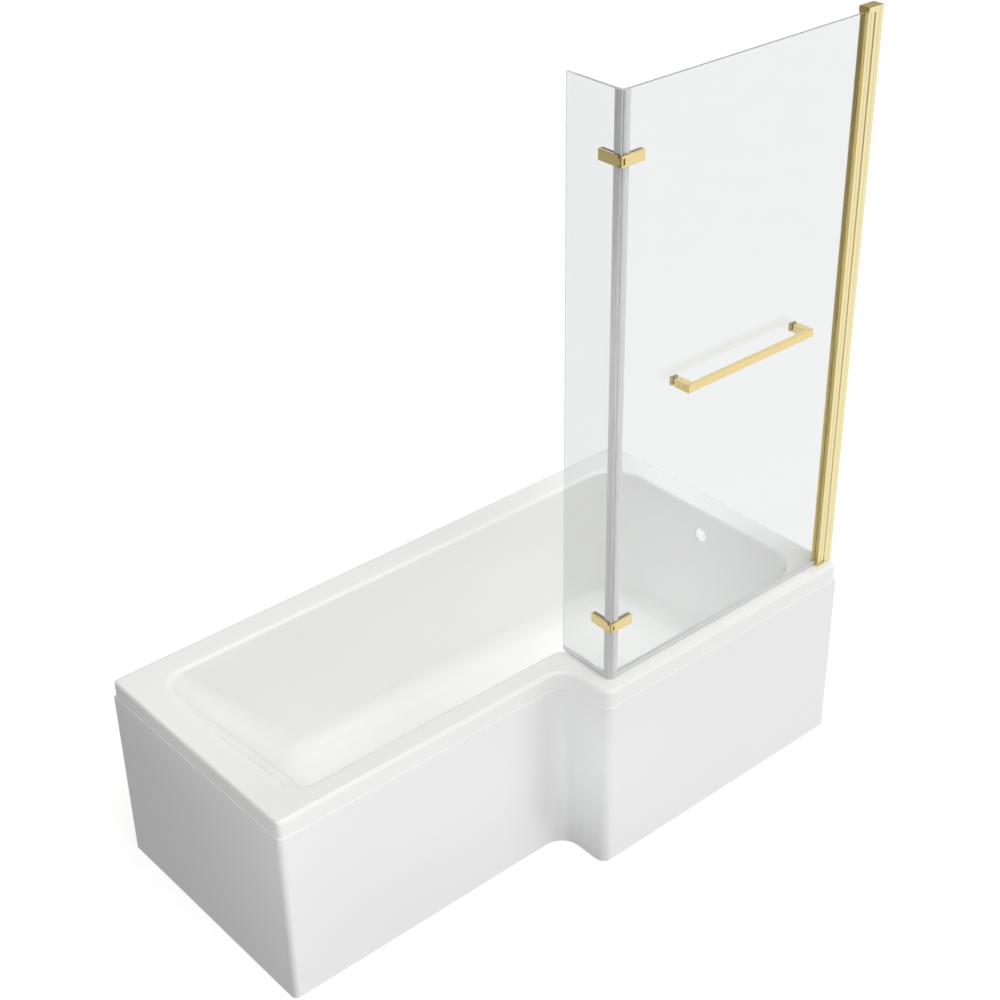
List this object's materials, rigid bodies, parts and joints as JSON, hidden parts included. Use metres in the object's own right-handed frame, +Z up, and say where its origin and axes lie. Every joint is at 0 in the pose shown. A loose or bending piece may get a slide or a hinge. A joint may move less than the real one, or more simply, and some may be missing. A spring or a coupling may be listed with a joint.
{
  "type": "l-shaped shower bath",
  "caption": "L-shaped shower bath: wide shower end, fitted panels, levelling feet and a glass screen with a hinged return pane and towel rail.",
  "frame": {"origin": "on the floor, under the middle of the whole part's box, which runs from the end panel to the wall face and from the towel rail's front to the back wall face", "axes": "+Z up, +X from the head end to the shower end, +Y from the front to the back wall"},
  "size_m": [1.702, 0.8626, 2.033],
  "materials": {
    "white_acrylic": "gloss moulded acrylic",
    "panel_acrylic": "gloss moulded acrylic sheet",
    "chipboard": "sanded chipboard",
    "timber": "planed softwood",
    "zinc_steel": "zinc plated",
    "black_plastic": "moulded",
    "brass_profile": "brushed and anodised to a brass colour",
    "brushed_brass": "brushed and lacquered",
    "clear_glass": "clear toughened glass with polished edges",
    "seal_vinyl": "translucent vinyl",
    "clear_gasket": "clear soft sheet"
  },
  "bodies": {
    "bath": {"bath_shell": "white_acrylic", "base_board": "chipboard", "rim_battens": "timber", "front_panel": "panel_acrylic", "end_panel": "panel_acrylic", "panel_clips": "black_plastic", "floor_battens": "timber", "leg_bar_head": "zinc_steel", "leg_bar_middle": "zinc_steel", "leg_bar_waste": "zinc_steel", "leg_bar_screws": "zinc_steel", "foot_nuts": "zinc_steel", "wall_brackets": "zinc_steel", "bracket_screws": "zinc_steel", "wall_channel": "brass_profile", "channel_cap": "brass_profile", "adjusting_profile": "brass_profile", "profile_top_cap": "brass_profile", "profile_foot_cap": "brass_profile", "profile_screws": "brushed_brass", "glazing_gasket": "clear_gasket", "fixed_glass": "clear_glass", "fixed_corner_seal": "seal_vinyl", "fixed_drip_seal": "seal_vinyl", "upper_hinge_fixed_leaf": "brushed_brass", "lower_hinge_fixed_leaf": "brushed_brass", "fixed_clamp_plates": "brushed_brass", "hinge_pins": "zinc_steel", "fixed_hinge_gaskets": "clear_gasket", "fixed_hinge_screws": "brushed_brass", "towel_rail": "brushed_brass", "towel_rail_pads": "brushed_brass", "towel_rail_washers": "clear_gasket", "towel_rail_studs": "zinc_steel"},
    "foot_1": {"foot_stud_1": "zinc_steel", "foot_pad_1": "black_plastic"},
    "foot_2": {"foot_stud_2": "zinc_steel", "foot_pad_2": "black_plastic"},
    "foot_3": {"foot_stud_3": "zinc_steel", "foot_pad_3": "black_plastic"},
    "foot_4": {"foot_stud_4": "zinc_steel", "foot_pad_4": "black_plastic"},
    "foot_5": {"foot_stud_5": "zinc_steel", "foot_pad_5": "black_plastic"},
    "foot_6": {"foot_stud_6": "zinc_steel", "foot_pad_6": "black_plastic"},
    "return_panel": {"return_glass": "clear_glass", "return_corner_seal": "seal_vinyl", "return_drip_seal": "seal_vinyl", "upper_hinge_return_leaf": "brushed_brass", "lower_hinge_return_leaf": "brushed_brass", "return_clamp_plates": "brushed_brass", "return_hinge_gaskets": "clear_gasket", "return_hinge_screws": "brushed_brass"}
  },
  "joints": [
    {"name": "return_panel_swing", "type": "hinge", "parent": "bath", "child": "return_panel", "pos_m": [0.049, -0.38575, 1.285], "axis": [0, 0, 1], "range_deg": [0, 90]},
    {"name": "foot_1_levelling", "type": "slide", "parent": "bath", "child": "foot_1", "axis": [0, 0, 1], "range_m": [0, 0.03]},
    {"name": "foot_2_levelling", "type": "slide", "parent": "bath", "child": "foot_2", "axis": [0, 0, 1], "range_m": [0, 0.03]},
    {"name": "foot_3_levelling", "type": "slide", "parent": "bath", "child": "foot_3", "axis": [0, 0, 1], "range_m": [0, 0.03]},
    {"name": "foot_4_levelling", "type": "slide", "parent": "bath", "child": "foot_4", "axis": [0, 0, 1], "range_m": [0, 0.03]},
    {"name": "foot_5_levelling", "type": "slide", "parent": "bath", "child": "foot_5", "axis": [0, 0, 1], "range_m": [0, 0.03]},
    {"name": "foot_6_levelling", "type": "slide", "parent": "bath", "child": "foot_6", "axis": [0, 0, 1], "range_m": [0, 0.03]}
  ]
}
